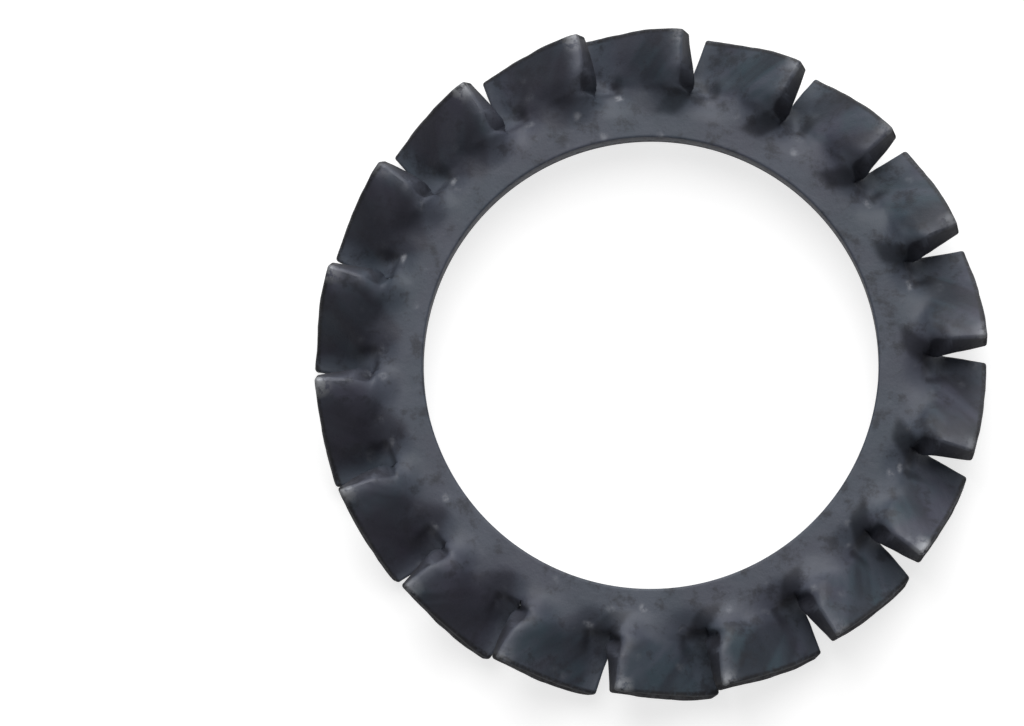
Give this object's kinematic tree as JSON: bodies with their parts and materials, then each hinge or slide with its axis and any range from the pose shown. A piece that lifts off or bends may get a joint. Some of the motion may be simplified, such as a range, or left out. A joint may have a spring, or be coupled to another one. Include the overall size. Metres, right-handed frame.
{
  "type": "external tooth lock washer",
  "caption": "Flat spring steel ring with twisted, slightly overlapping teeth round its rim, which bite the nut and the work to stop a bolted joint turning loose.",
  "frame": {"origin": "centre of the bore, in the middle of the flat ring's thickness", "axes": "+Z along the bore, out of the face that the nut bears on; +X through the middle of one tooth"},
  "size_m": [0.0254, 0.0254, 0.0036],
  "materials": {
    "blackened_spring_steel": "satin black conversion coating on spring steel, lightly oiled, worn bright on the biting corners"
  },
  "bodies": {
    "root": {"lock_washer": "blackened_spring_steel"}
  },
  "joints": []
}
